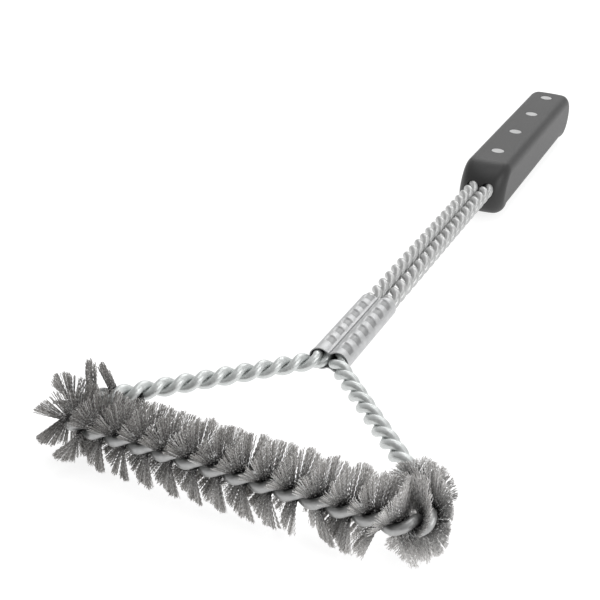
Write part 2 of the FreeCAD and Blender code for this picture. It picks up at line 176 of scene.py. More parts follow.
def twist_knots(side):
    """Ends of the eased stretches on one side: (distance, half-turns, change per mm) each."""
    arm_crown = side * (ARM_TOP - CROWN_ARM[side])
    rod_crown = side * (SHOULDER_END + CROWN_ROD[side] - ROD_START_Y)
    distance = side * CROSSBAR_END
    turns = crown_line(CROWN_CROSSBAR, HEAD_LAY, distance)
    knots = [(distance, turns, -1 / HEAD_LAY)]
    eased = side * (CORNER_END - CROSSBAR_END) / ((HEAD_LAY + ROD_LAY) / 2)
    distance = side * CORNER_END
    turns = nearest_match(crown_line(arm_crown, ROD_LAY, distance), turns - eased)
    knots.append((distance, turns, -1 / ROD_LAY))
    turns -= side * (ARM_END - CORNER_END) / ROD_LAY
    knots.append((side * ARM_END, turns, -1 / ROD_LAY))
    eased = side * (FERRULE_BACK - ARM_END) / ROD_LAY
    distance = side * FERRULE_BACK
    turns = nearest_match(crown_line(rod_crown, ROD_LAY, distance), turns - eased)
    knots.append((distance, turns, -1 / ROD_LAY))
    return knots


KNOTS = sorted(twist_knots(-1) + twist_knots(1))


def half_turns(distance):
    """Half-turns of the twist at a distance along the rope, falling steadily from left to right."""
    first = KNOTS[0]
    last = KNOTS[-1]
    if distance <= first[0]:
        return first[1] + first[2] * (distance - first[0])
    if distance >= last[0]:
        return last[1] + last[2] * (distance - last[0])
    for (start, turns_a, rate_a), (end, turns_b, rate_b) in zip(KNOTS, KNOTS[1:]):
        if start <= distance <= end:
            span = end - start
            part = (distance - start) / span
            return ((2 * part ** 3 - 3 * part ** 2 + 1) * turns_a
                    + (part ** 3 - 2 * part ** 2 + part) * span * rate_a
                    + (3 * part ** 2 - 2 * part ** 3) * turns_b
                    + (part ** 3 - part ** 2) * span * rate_b)


# How closely, in millimetres, place_of() finds a place along the rope.
PLACE_TOLERANCE = 1e-4


def place_of(turns):
    """The distance along the rope where the gap between the wires has made this many half-turns."""
    low = -ROPE_END
    high = ROPE_END
    while high - low > PLACE_TOLERANCE:
        middle = (low + high) / 2
        if half_turns(middle) + 0.5 > turns:
            low = middle
        else:
            high = middle
    return (low + high) / 2


# ---------------------------------------------------------------------------------------------
# Mesh and material helpers
# ---------------------------------------------------------------------------------------------

def add_mesh(name, points, faces, scaled=True):
    """A smooth mesh object from points in millimetres about the crossbar, or as they are."""
    mesh = bpy.data.meshes.new(name)
    points = placed(points) if scaled else np.asarray(points, float)
    mesh.from_pydata(points.tolist(), [], faces)
    mesh.polygons.foreach_set("use_smooth", [True] * len(mesh.polygons))
    mesh.update()
    piece = bpy.data.objects.new(name, mesh)
    bpy.context.scene.collection.objects.link(piece)
    return piece


def grid_faces(rows, columns, start=0):
    """Quads of a grid of points, row by row, each row's last column joined to its first."""
    faces = []
    for row in range(rows - 1):
        for column in range(columns):
            here = start + row * columns + column
            there = start + row * columns + (column + 1) % columns
            faces.append((here, there, there + columns, here + columns))
    return faces


class Paint:
    """A node material built step by step."""

    def __init__(self, name):
        self.material = bpy.data.materials.new(name)
        self.material.use_nodes = True
        self.nodes = self.material.node_tree.nodes
        self.links = self.material.node_tree.links
        self.shader = self.nodes["Principled BSDF"]
        self.place = self.nodes.new("ShaderNodeTexCoord").outputs["Object"]

    def node(self, kind, **settings):
        """A node with its settings and inputs given by name; an input's spaces are underscores."""
        made = self.nodes.new(kind)
        for name, value in settings.items():
            label = name.replace("_", " ")
            if label in made.inputs:
                if isinstance(value, bpy.types.NodeSocket):
                    self.links.new(value, made.inputs[label])
                else:
                    made.inputs[label].default_value = value
            else:
                setattr(made, name, value)
        return made

    def set(self, **values):
        """Constants or links on the shader's sockets."""
        for name, value in values.items():
            label = name.replace("_", " ")
            if isinstance(value, bpy.types.NodeSocket):
                self.links.new(value, self.shader.inputs[label])
            else:
                self.shader.inputs[label].default_value = value

    def stretched(self, along):
        """The object's coordinates, scaled along Y, so that noise is drawn out that way."""
        return self.node("ShaderNodeMapping", Vector=self.place,
                         Scale=(1.0, along, 1.0)).outputs[0]

    def noise(self, scale, detail=4.0, roughness=0.5, where=None):
        """Noise from 0 to 1; scale is in features per metre."""
        return self.node("ShaderNodeTexNoise", Vector=where or self.place, Scale=scale,
                         Detail=detail, Roughness=roughness).outputs["Fac"]

    def ramp(self, factor, *stops):
        """Colours by a factor: (position, (r, g, b)) each."""
        made = self.node("ShaderNodeValToRGB", Fac=factor)
        band = made.color_ramp
        while len(band.elements) < len(stops):
            band.elements.new(1.0)
        for element, (position, colour) in zip(band.elements, stops):
            element.position = position
            element.color = (*colour, 1.0)
        return made.outputs["Color"]

    def spread(self, factor, low, high, start, end):
        """The factor remapped from start..end to low..high."""
        made = self.node("ShaderNodeMapRange", Value=factor)
        for label, value in (("From Min", start), ("From Max", end), ("To Min", low), ("To Max", high)):
            made.inputs[label].default_value = value
        return made.outputs[0]

    def mixed(self, factor, first, second):
        """The first colour turning into the second as the factor goes from 0 to 1."""
        made = self.nodes.new("ShaderNodeMix")
        made.data_type = "RGBA"
        self.links.new(factor, made.inputs[0])
        for socket, colour in ((made.inputs[6], first), (made.inputs[7], second)):
            if isinstance(colour, bpy.types.NodeSocket):
                self.links.new(colour, socket)
            else:
                socket.default_value = (*colour, 1.0)
        return made.outputs[2]

    def bump(self, height, strength, depth, under=None):
        """A bump of that depth in metres, over another bump if one is given."""
        made = self.node("ShaderNodeBump", Height=height, Strength=strength, Distance=depth)
        if under is not None:
            self.links.new(under, made.inputs["Normal"])
        return made.outputs[0]


def grey(value, warmth=0.0, green=0.0):
    """A near-neutral colour: warmth lifts red over blue, green lifts green."""
    return (value * (1 + warmth), value * (1 + green), value * (1 - warmth))


# ---------------------------------------------------------------------------------------------
# Materials
# ---------------------------------------------------------------------------------------------

# Where the wires' painted shade changes, from the crossbar in millimetres: shaded to plain along
# the arms, and plain to a little shaded on the rods.
CROSSBAR_SHADE_FADE = (4.0, 24.0)
ROD_SHADE_FADE = (100.0, 150.0)


def galvanised():
    """Zinc-coated wire: mottled light grey, with painted shade on the crossbar and a little on the
    rods.
    """
    paint = Paint("galvanised_wire")
    mottle = paint.noise(420.0, detail=5.0, roughness=0.6)
    grain = paint.noise(2600.0, detail=3.0, where=paint.stretched(0.35))
    along = paint.node("ShaderNodeSeparateXYZ", Vector=paint.place).outputs["Y"]
    # Painted shade: the wires are darker on the crossbar, standing in for the bristles' shade there.
    start, end = ((HOME.y + reach) * MM for reach in CROSSBAR_SHADE_FADE)
    crossbar_shade_mask = paint.spread(along, 1.0, 0.0, start, end)
    # Painted shade, a little, on the rods.
    start, end = ((HOME.y + reach) * MM for reach in ROD_SHADE_FADE)
    rods = paint.spread(along, 0.0, 1.0, start, end)
    # The wire's own colour, then two darker copies of it: painted shade for the rods and the crossbar.
    bright = paint.ramp(mottle, (0.30, grey(0.58, -0.01, 0.02)), (0.70, grey(0.72, -0.01, 0.02)))
    rod_shaded = paint.ramp(mottle, (0.30, grey(0.45)), (0.72, grey(0.60, 0.0, 0.01)))
    crossbar_shaded = paint.ramp(mottle, (0.30, grey(0.36)), (0.72, grey(0.47, 0.0, 0.01)))
    beyond = paint.mixed(rods, bright, rod_shaded)
    paint.set(Base_Color=paint.mixed(crossbar_shade_mask, beyond, crossbar_shaded), Metallic=0.8,
              Roughness=paint.spread(mottle, 0.34, 0.46, 0.3, 0.7), Specular_IOR_Level=0.5)
    fine = paint.bump(grain, 0.35, 0.00004)
    paint.set(Normal=paint.bump(mottle, 0.25, 0.00012, fine))
    return paint.material


def bristle_steel():
    """Crimped brush wire: grey-brown steel, with painted shade in the tufts' core and bright specks of
    painted highlight.
    """
    paint = Paint("bristle_steel")
    wear_and_shade = paint.noise(900.0, detail=3.0, roughness=0.7)
    glint_noise = paint.noise(1500.0, detail=2.0)
    tip = paint.node("ShaderNodeAttribute", attribute_name="tip").outputs["Fac"]
    wire = paint.node("ShaderNodeAttribute", attribute_name="shade").outputs["Fac"]
    base = paint.ramp(wire, (0.0, grey(0.30, 0.04)), (0.5, grey(0.54, 0.03)),
                      (1.0, grey(0.98, 0.01)))
    # Painted shade: the wires darken towards the rope, in the core of the tuft.
    root_shade = paint.spread(tip, 1.0, 0.0, 0.10, 0.62)
    body = paint.mixed(root_shade, base, grey(0.03, 0.02))
    # Painted highlights: bright specks mixed into the colour stand in for glints.
    painted_glints = paint.spread(glint_noise, 0.0, 0.75, 0.55, 0.68)
    paint.set(Base_Color=paint.mixed(painted_glints, body, grey(0.92, 0.01)), Metallic=0.5,
              Roughness=paint.spread(wear_and_shade, 0.36, 0.6, 0.3, 0.7))
    return paint.material


def ferrule_sheet():
    """Zinc-plated sheet steel, satin, faintly drawn along its length, with painted shade in its
    dimples.
    """
    paint = Paint("ferrule_sheet")
    drawn = paint.noise(3800.0, detail=3.0, where=paint.stretched(0.06))
    mottle = paint.noise(260.0, detail=4.0)
    dimple = paint.node("ShaderNodeAttribute", attribute_name="dimple").outputs["Fac"]
    sheet = paint.ramp(mottle, (0.3, grey(0.50, -0.01)), (0.7, grey(0.58, -0.005)))
    # The darker grey is painted shade in the dimples, and along the seam a dark joint with painted
    # shade in its crease.
    wear_and_shade = paint.ramp(mottle, (0.3, grey(0.29, -0.01)), (0.7, grey(0.36, -0.005)))
    paint.set(Base_Color=paint.mixed(dimple, sheet, wear_and_shade), Metallic=0.8,
              Roughness=paint.spread(drawn, 0.40, 0.56, 0.3, 0.7))
    paint.set(Normal=paint.bump(drawn, 0.2, 0.00003))
    return paint.material


def moulded(name, colour, roughness, grain_depth):
    """Moulded plastic: spark-eroded grain, faint flow variation, slightly polished high spots."""
    paint = Paint(name)
    grain = paint.noise(2600.0, detail=4.0, roughness=0.65)
    cells = paint.node("ShaderNodeTexVoronoi", Vector=paint.place, Scale=1500.0).outputs["Distance"]
    flow = paint.noise(36.0, detail=3.0)
    low, high = (tuple(channel * share for channel in colour) for share in (0.9, 1.1))
    paint.set(Base_Color=paint.ramp(flow, (0.3, low), (0.7, high)),
              Roughness=paint.spread(grain, roughness - 0.06, roughness + 0.08, 0.3, 0.7),
              Specular_IOR_Level=0.42)
    coarse = paint.bump(cells, 0.25, grain_depth)
    paint.set(Normal=paint.bump(grain, 0.4, grain_depth, coarse))
    return paint.material


def floor_paint():
    """Plain pale studio floor, lit from below as a light table is."""
    paint = Paint("studio_floor")
    paint.set(Base_Color=(*grey(0.36), 1.0), Roughness=0.9, Specular_IOR_Level=0.1,
              Emission_Color=(1.0, 1.0, 1.0, 1.0), Emission_Strength=0.82)
    return paint.material


WIRE = galvanised()
BRISTLE = bristle_steel()
SHEET = ferrule_sheet()
HANDLE = moulded("handle_plastic", colour=grey(0.026), roughness=0.42, grain_depth=0.00005)
PLUG = moulded("plug_plastic", colour=grey(0.55), roughness=0.5, grain_depth=0.00002)


def finish_piece(piece, material, slot, *nodes):
    """Give a piece its material and its place on the body, and hide the CAD nodes it stands for."""
    piece.data.materials.append(material)
    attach(piece, "root")
    if nodes:
        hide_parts(*nodes)


# ---------------------------------------------------------------------------------------------
# The two wires: the CAD shapes, with the galvanised finish
# ---------------------------------------------------------------------------------------------
for name in ("wire_strand_a", "wire_strand_b"):
    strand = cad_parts[name]
    strand.data.materials.clear()
    strand.data.materials.append(WIRE)

# ---------------------------------------------------------------------------------------------
# The bristles
# ---------------------------------------------------------------------------------------------
# Crimped wires, clamped between the two wires of the rope and fanning out both ways.  They leave
# the gap between the wires, as the CAD tufts do, then bend over into clumps and end unevenly.
# Half-turns are numbered as half_turns() counts them, from 6 on the left arm to -15 on the right.

UP = 1
DOWN = -1
WIRES_PER_FAN = {UP: 200, DOWN: 290}
WIRE_THICKNESS = 0.27
CRIMP_LENGTH = 2.1
CRIMP_DEPTH = 0.20
CRIMP_STEPS = 4
SHORTEST_WIRE = 3.0
WIRE_SIDES = 3
# A direction that no wire runs along, from which the sides of a wire are turned.
SLANTED = (0.31, 0.17, 0.93)
# A wire starts BRISTLE_ROOT from the rope's centre, and bends over between these two distances.
BRISTLE_ROOT = 1.4
BEND_START = 2.6
BEND_END = 6.0
# How far towards the plane that halves a corner a wire may go.
BISECTOR_SHARE = 0.96
# How a fan splays and leans along the rope (degrees, leaning towards the right), what share of
# BRISTLE_REACH its wires have, how closely they follow the gap's turn about the rope (0 is not at
# all), and which share of the half-turn holds wires, from its left end.
SPLAY = {UP: 7.0, DOWN: 36.0}
LEAN = {UP: 0.0, DOWN: -15.0}
REACH = {UP: 0.95, DOWN: 0.95}
GATHER = {UP: 0.9, DOWN: 0.1}
FILLED = {UP: (0.18, 1.0), DOWN: (0.0, 0.80)}
OFF_CROSSBAR_GATHER = 0.75
OFF_CROSSBAR_FILLED = (0.0, 1.0)
# The lower fans lean further to the left, by this many degrees for each half-turn from SWEPT_FROM.
LEFT_SWEEP = 2.0
SWEPT_FROM = -6
# A wire's shade is a random number to the power of the first value times exp(the second value times
# its half-turn): painted shade darkens the left end and painted light brightens the right.
SHADE_POWER = 3.2
SHADE_POWER_RISE = 0.20
# How unevenly the wires lie, as standard deviations: shares, radians or millimetres.
CLUMP_WIRES = 14
CLUMP_SHORTENING = 0.045
CLUMP_TURNING = 0.035
CLUMP_LEANING = 0.03
GAP_TURNING = 0.03
WIRE_SHORTENING = 0.04
WIRE_LEANING = 0.025
CRIMP_TWIST = 0.35
CRIMP_SHIFT = 0.5
CURL_ALONG = 0.45
CURL_ACROSS = 0.5

# Fans bent by use, by side and half-turn, with what differs from the values above; "kept" is the
# share of the wires.
BENT = {
    (UP, 4): {"splay": 14.0},
    (UP, 5): {"splay": 4.0, "lean": 15.0, "kept": 0.5, "reach": 0.85, "filled": (0.0, 0.55)},
    (UP, 6): {"kept": 0.0},
    (DOWN, 2): {"gather": 0.5, "splay": -34.0, "lean": -6.0},
    (DOWN, 3): {"splay": 34.0, "lean": -12.0, "reach": 1.0, "kept": 1.3},
    (DOWN, 5): {"lean": 15.0},
    (DOWN, 6): {"splay": 10.0, "lean": 15.0, "kept": 0.3},
    (DOWN, -7): {"splay": 10.0, "lean": -16.0, "kept": 0.5},
    (DOWN, -8): {"splay": 20.0, "lean": 8.0},
    (DOWN, -9): {"splay": 22.0, "lean": -16.0},
    (DOWN, -10): {"splay": 5.0, "lean": -24.0, "kept": 0.5, "reach": 1.02},
    (DOWN, -11): {"splay": 30.0, "lean": 20.0, "kept": 0.15},
    (DOWN, -12): {"splay": 44.0, "lean": -4.0, "reach": 1.04, "kept": 1.5},
    (DOWN, -13): {"reach": 1.0},
    (UP, -14): {"lean": -12.0},
    (UP, -15): {"lean": -26.0, "reach": 0.88},
}
# How much of their full reach the wires keep where they point outwards past the right (1) and the
# left (-1) corner, and over how many half-turns that sets in.
OUTWARD_REACH = {1: 0.35, -1: 0.85}
OUTWARD_ONSET = 1.5


def corner_limit(point, direction, distance):
    """How far a bristle may go before it crosses the plane that halves the nearest corner."""
    side = 1 if distance > 0 else -1
    plane = np.array((side * math.sin(ARM_ANGLE / 2), math.cos(ARM_ANGLE / 2), 0.0))
    gap = float((np.array((side * half_span, 0.0, 0.0)) - point) @ plane)
    closing = float(direction @ plane)
    if gap < 0:
        gap, closing = -gap, -closing
    return BISECTOR_SHARE * gap / closing if closing > 0 else math.inf


def unit(vector):
    """The vector at length one."""
    return vector / np.linalg.norm(vector)


def reach_towards(direction, distance):
    """Reach of a wire: full up and down and on the crossbar, less outwards past a corner."""
    side = 1 if distance > 0 else -1
    outwards = max(0.0, float(direction @ np.array((side, 0.0, 0.0))))
    past = min(1.0, max(0.0, (abs(distance) - CROSSBAR_END + HEAD_LAY) / (OUTWARD_ONSET * HEAD_LAY)))
    return 1 - (1 - OUTWARD_REACH[side]) * outwards * past


def bristle_points(centre, leaving, direction, crimp_axis, length, phase, curl):
    """Centre points of one crimped wire: it leaves the gap one way, then bends over to another."""
    count = max(3, round(length / CRIMP_LENGTH * CRIMP_STEPS))
    out = np.linspace(0.0, length, count + 1)
    swung = np.clip((out + BRISTLE_ROOT - BEND_START) / (BEND_END - BEND_START), 0.0, 1.0)
    heading = np.outer(1 - swung, leaving) + np.outer(swung, direction)
    heading /= np.linalg.norm(heading, axis=1)[:, None]
    steps = (heading[1:] + heading[:-1]) / 2 * length / count
    line = np.concatenate((np.zeros((1, 3)), np.cumsum(steps, axis=0)))
    wave = CRIMP_DEPTH * np.sin(2 * np.pi * out / CRIMP_LENGTH + phase)
    return (centre + leaving * BRISTLE_ROOT + line + np.outer(wave, crimp_axis)
            + np.outer((out / BRISTLE_REACH) ** 2, curl))


def wire_round(points, thickness):
    """Points of a three-sided wire round a centre line, its sides turned from one slanted line."""
    along = unit(points[-1] - points[0])
    side = unit(np.cross(along, SLANTED))
    other = np.cross(along, side)
    ring = [side * math.cos(angle) + other * math.sin(angle)
            for angle in (2 * math.pi * corner / WIRE_SIDES for corner in range(WIRE_SIDES))]
    return (points[:, None, :] + np.array(ring)[None] * thickness / 2).reshape(-1, 3)


def fan_wires(turn, side, draw):
    """The wires of a half-turn on its upper or lower side: (centre points, shade) each.

    Wires sit in clumps, and the crimps of a clump lie nearly in step, so that it looks woven.
    """
    bent = BENT.get((side, turn), {})
    splay = math.radians(bent.get("splay", SPLAY[side]))
    swept = LEFT_SWEEP * max(0, turn - SWEPT_FROM) if side == DOWN else 0.0
    lean = math.radians(bent.get("lean", LEAN[side] - swept))
    # The gap's own direction points up on odd half-turns and down on even ones.
    outwards = side if turn % 2 else -side
    on_crossbar = abs(place_of(turn - 0.5)) < CROSSBAR_END
    gather = bent.get("gather", GATHER[side] if on_crossbar else OFF_CROSSBAR_GATHER)
    low, high = bent.get("filled", FILLED[side] if on_crossbar else OFF_CROSSBAR_FILLED)
    wires = round(WIRES_PER_FAN[side] * bent.get("kept", 1.0))
    shares = np.sort(draw.uniform(low, high, wires))
    for index, share in enumerate(shares):
        if index % CLUMP_WIRES == 0:
            clump_phase = draw.uniform(0, 2 * math.pi)
            clump_reach = 1 - abs(draw.normal(0, CLUMP_SHORTENING))
            clump_turn = draw.normal(0, CLUMP_TURNING)
            clump_lean = draw.normal(0, CLUMP_LEANING)
        distance = place_of(turn - share)
        point, tangent, normal = rope_frame(distance)
        gap = math.pi * (half_turns(distance) + 0.5) + draw.normal(0, GAP_TURNING)
        leaving = (normal * math.cos(gap) + np.array((0, 0, math.sin(gap)))) * outwards
        upright = math.pi * (turn - 0.5)
        angle = upright + gather * (gap - upright) + clump_turn
        direction = (normal * math.cos(angle) + np.array((0, 0, math.sin(angle)))) * outwards
        reach = reach_towards(direction, distance) * clump_reach
        reach *= 1 - abs(draw.normal(0, WIRE_SHORTENING))
        reach *= bent.get("reach", REACH[side])
        length = min(BRISTLE_REACH * reach, corner_limit(point, direction, distance)) - BRISTLE_ROOT
        fanned = splay * (2 * share - low - high) / (high - low)
        tilt = lean + fanned + clump_lean + draw.normal(0, WIRE_LEANING)
        direction = unit(direction + tangent * math.tan(tilt))
        across = unit(np.cross(tangent, direction))
        crimp_axis = unit(tangent + across * draw.normal(0, CRIMP_TWIST))
        curl = tangent * draw.normal(0, CURL_ALONG) + across * draw.normal(0, CURL_ACROSS)
        phase = clump_phase + draw.normal(0, CRIMP_SHIFT)
        # Painted shade and light: the wires darken towards the left end and brighten towards the right.
        shade = draw.uniform(0, 1) ** (SHADE_POWER * math.exp(SHADE_POWER_RISE * turn))
        if length > SHORTEST_WIRE:
            line = bristle_points(point, leaving, direction, crimp_axis, length, phase, curl)
            yield line, shade


def make_tuft(number, turn, draw):
    """All the wires of one half-turn of the rope, on both of its sides, as one piece.

    The attribute tip says how far from the rope a point is, and shade is a wire's random brightness,
    with painted shade to the left and painted light to the right.
    """
    points = []
    faces = []
    tips = []
    shades = []
    count = 0
    for side in (UP, DOWN):
        for line, shade in fan_wires(turn, side, draw):
            rings = len(line)
            points.append(wire_round(line, WIRE_THICKNESS))
            faces += grid_faces(rings, WIRE_SIDES, start=count)
            faces.append(tuple(reversed(range(count, count + WIRE_SIDES))))
            count += WIRE_SIDES * rings
            faces.append(tuple(range(count - WIRE_SIDES, count)))
            reached = np.linalg.norm(line - line[0], axis=1) / BRISTLE_REACH
            tips.append(np.repeat(reached, WIRE_SIDES))
            shades.append(np.full(WIRE_SIDES * rings, shade))
    piece = add_mesh(f"bristles_{number:02d}", np.concatenate(points), faces)
    for name, values in (("tip", tips), ("shade", shades)):
        attribute = piece.data.attributes.new(name, "FLOAT", "POINT")
        attribute.data.foreach_set("value", np.concatenate(values).astype(np.float32))
    finish_piece(piece, BRISTLE, "bristle_wire", f"tuft_{number:02d}")


RANDOM_SEED = 20
draw = np.random.default_rng(RANDOM_SEED)
first_turn = math.floor(half_turns(-(ARM_TOP - BARE_LEFT_ARM)) + 0.5)
last_turn = math.ceil(half_turns(ARM_TOP - BARE_RIGHT_ARM) + 0.5)
for number, turn in enumerate(range(first_turn, last_turn, -1), start=1):
    make_tuft(number, turn, draw)

# ---------------------------------------------------------------------------------------------
# The ferrule
# ---------------------------------------------------------------------------------------------
# A sheet wrapped round both rods, with a row of dimples pressed into each hump and a seam along
# the middle of its top.  Its mouth opens a little and its edges are round.

HUMP_RADIUS = FERRULE_BORE + FERRULE_WALL
HUMP_STEPS = 60
VALLEY_ROUND = 2.6
VALLEY_STEPS = 21
SHEET_ROWS = 190
RIM_STEPS = 6
FLARE_DEPTH = 0.35
FLARE_LENGTH = 5.0
# The dimples of the right (1) and the left (-1) hump: the first one's middle from the front, the
# place of their middles and their half width round the rod, their slant along the sleeve for each
# radian, how deep they are and how steep their walls.
DIMPLES = 6
DIMPLE_FIRST = {1: 7.5, -1: 10.5}
DIMPLE_PITCH = 9.5
DIMPLE_LENGTH = 5.6
DIMPLE_ANGLE = math.radians(70.0)
DIMPLE_SWEEP = math.radians(42.0)
DIMPLE_SLANT = 1.6
DIMPLE_STEEPNESS = 2.2
PRESS_DEPTH = 0.55
SEAM_WIDTH = 0.45
SEAM_DEPTH = 0.5
# How dark the seam is painted: a dark joint, with painted shade in its crease.
SEAM_DARKNESS = 2


def dimple_depth(side, angle, along):
    """How far a dimple has been pressed in, 0 to 1, at an angle round one rod."""
    swing = abs((angle - DIMPLE_ANGLE) / DIMPLE_SWEEP)
    if swing > 1:
        return 0.0
    first = FERRULE_FRONT + DIMPLE_FIRST[side] + DIMPLE_SLANT * (angle - DIMPLE_ANGLE)
    number = min(DIMPLES - 1, max(0, round((along - first) / DIMPLE_PITCH)))
    reach = abs(along - first - number * DIMPLE_PITCH) / (DIMPLE_LENGTH / 2)
    if reach > 1:
        return 0.0
    return min(1.0, DIMPLE_STEEPNESS * (1 - swing ** 3) * (1 - reach ** 3))


def flare(along):
    """How much wider the mouth is, over its first millimetres."""
    return FLARE_DEPTH * max(0.0, 1 - (along - FERRULE_FRONT) / FLARE_LENGTH) ** 2


def sheet_ring(along, inset):
    """One closed ring of the sheet's section, as points and how deep the press went at each.

    Each rod has a round hump, and the sheet bridges the valley between them in a hollow round.
    """
    height = math.sqrt((HUMP_RADIUS + VALLEY_ROUND) ** 2 - half_rods ** 2)
    reach = math.pi - math.atan2(height, half_rods)
    opening = math.atan2(half_rods, height)
    ring = []
    dimples = []
    for side in (1, -1):
        for angle in np.linspace(-reach, reach, HUMP_STEPS):
            swing = angle if side > 0 else math.pi + angle
            depth = dimple_depth(side, swing, along)
            radius = HUMP_RADIUS - inset - PRESS_DEPTH * depth + flare(along)
            ring.append((side * half_rods + radius * math.cos(swing), along,
                         radius * math.sin(swing)))
            dimples.append(depth)
        for turn in np.linspace(opening, -opening, VALLEY_STEPS + 2)[1:-1]:
            radius = VALLEY_ROUND + inset - flare(along)
            x = radius * math.sin(turn)
            z = height - radius * math.cos(turn)
            seam = max(0.0, 1 - abs(x) / SEAM_WIDTH) if side > 0 else 0.0
            ring.append((side * x, along, side * z - SEAM_DEPTH * seam))
            dimples.append(SEAM_DARKNESS * seam)
    return ring, dimples


def make_ferrule():
    """The sheet's outside and inside, joined at both ends by round edges.

    The attribute dimple says how deep the press went, and marks the seam; the material paints shade by
    it.
    """
    back = FERRULE_FRONT + FERRULE_LENGTH
    edge = FERRULE_WALL / 2
    route = [(along, along, 0.0)
             for along in np.linspace(FERRULE_FRONT + edge, back - edge, SHEET_ROWS)]
    bends = [math.pi * step / RIM_STEPS for step in range(1, RIM_STEPS)]
    route += [(back - edge, back - edge + edge * math.sin(turn), edge * (1 - math.cos(turn)))
              for turn in bends]
    route += [(along, along, FERRULE_WALL)
              for along in np.linspace(back - edge, FERRULE_FRONT + edge, SHEET_ROWS // 2)]
    front = FERRULE_FRONT + edge
    route += [(front, front - edge * math.sin(turn), edge * (1 + math.cos(turn)))
              for turn in bends]
    points = []
    dimples = []
    for along, moved, inset in route:
        ring, depths = sheet_ring(along, inset)
        points += [(x, moved, z) for x, _, z in ring]
        dimples += depths
    columns = 2 * (HUMP_STEPS + VALLEY_STEPS)
    faces = grid_faces(len(route), columns)
    last = (len(route) - 1) * columns
    faces += [(last + column, last + (column + 1) % columns, (column + 1) % columns, column)
              for column in range(columns)]
    piece = add_mesh("ferrule_sleeve", points, faces)
    attribute = piece.data.attributes.new("dimple", "FLOAT", "POINT")
    attribute.data.foreach_set("value", np.array(dimples, np.float32))
    finish_piece(piece, SHEET, "ferrule_sheet", "ferrule")


make_ferrule()

# ---------------------------------------------------------------------------------------------
# The handle
# ---------------------------------------------------------------------------------------------
# Its outline from the side is the CAD one: flat top, round nose with a finger stop, belly, round
# tail.  The outline is shrunk evenly towards each flat side, which rounds the long edges, and the
# tail and nose are drawn round as seen from above.

EDGE_ROUND = 6.4
EDGE_STEPS = 9
OUTLINE_STEP = 1.6
FLAT_RINGS = 15
# A narrow ring inside each flat side keeps the smooth shading of the edge off it.
FLAT_MARGIN = 0.6
# The nose's and the tail's rounds as seen from above, and how far along they fade out.
NOSE_PLAN_ROUND = 21.0
NOSE_PLAN_LENGTH = 20.0
TAIL_PLAN_ROUND = 36.0
TAIL_PLAN_LENGTH = 24.0
RECESS_GAP = 0.05
BAR_STEPS = 48
SHARP_ANGLE = math.radians(32)


def side_outline():
    """Points (along, height) round the handle's side view, anticlockwise from the top's rear."""
    tail = (HANDLE_TOP + HANDLE_BOTTOM) / 2
    rear = HANDLE_FRONT + HANDLE_LENGTH
    tail_centre = (rear - tail, HANDLE_TOP - tail)
    nose_centre = (HANDLE_FRONT + NOSE_ROUND, HANDLE_TOP - NOSE_ROUND)
    lip_height = LIP_ROUND - HANDLE_BOTTOM
    ahead = math.sqrt((NOSE_ROUND - LIP_ROUND) ** 2 - (nose_centre[1] - lip_height) ** 2)
    lip_centre = (nose_centre[0] - ahead, lip_height)
    foot = math.atan2(lip_height - nose_centre[1], lip_centre[0] - nose_centre[0])

    def arc(centre, radius, start, end):
        steps = max(2, math.ceil(abs(end - start) * radius / OUTLINE_STEP))
        return [(centre[0] + radius * math.cos(start + (end - start) * step / steps),
                 centre[1] + radius * math.sin(start + (end - start) * step / steps))
                for step in range(steps)]

    def line(start, end):
        steps = max(2, math.ceil(math.dist(start, end) / OUTLINE_STEP))
        return [(start[0] + (end[0] - start[0]) * step / steps,
                 start[1] + (end[1] - start[1]) * step / steps) for step in range(steps)]

    def blend(centre, radius, sign):
        """Centre and meeting angle of the round between the belly and an arc below it."""
        height = -HANDLE_BELLY - BELLY_BLEND
        reach = math.sqrt((radius + BELLY_BLEND) ** 2 - (height - centre[1]) ** 2)
        place = (centre[0] + sign * reach, height)
        return place, math.atan2(centre[1] - height, centre[0] - place[0])

    lip_blend, lip_meets = blend(lip_centre, LIP_ROUND, 1)
    tail_blend, tail_meets = blend(tail_centre, tail, -1)
    lip_leaves = lip_meets - math.pi
    tail_starts = tail_meets - math.pi
    points = line((tail_centre[0], HANDLE_TOP), (nose_centre[0], HANDLE_TOP))
    points += arc(nose_centre, NOSE_ROUND, math.pi / 2, foot % (2 * math.pi))
    points += arc(lip_centre, LIP_ROUND, foot % (2 * math.pi), lip_leaves % (2 * math.pi))
    points += arc(lip_blend, BELLY_BLEND, lip_meets, math.pi / 2)
    points += line((lip_blend[0], -HANDLE_BELLY), (tail_blend[0], -HANDLE_BELLY))
    points += arc(tail_blend, BELLY_BLEND, math.pi / 2, tail_meets)
    points += arc(tail_centre, tail, tail_starts, math.pi / 2)
    return np.array(points)


def shrunk(outline, inset):
    """The outline moved inwards by an inset, along its own normals."""
    ahead = np.roll(outline, -1, axis=0) - np.roll(outline, 1, axis=0)
    ahead /= np.linalg.norm(ahead, axis=1)[:, None]
    inwards = np.stack((-ahead[:, 1], ahead[:, 0]), axis=1)
    return outline + inwards * inset


def plan_rounded(x, y):
    """Y drawn in near both ends, so that they look round from above."""
    rear = HANDLE_FRONT + HANDLE_LENGTH
    share = max(0.0, 1 - (rear - y) / TAIL_PLAN_LENGTH)
    y -= share * (TAIL_PLAN_ROUND - math.sqrt(TAIL_PLAN_ROUND ** 2 - x ** 2))
    share = max(0.0, 1 - (y - HANDLE_FRONT) / NOSE_PLAN_LENGTH)
    y += share * (NOSE_PLAN_ROUND - math.sqrt(NOSE_PLAN_ROUND ** 2 - x ** 2))
    return y


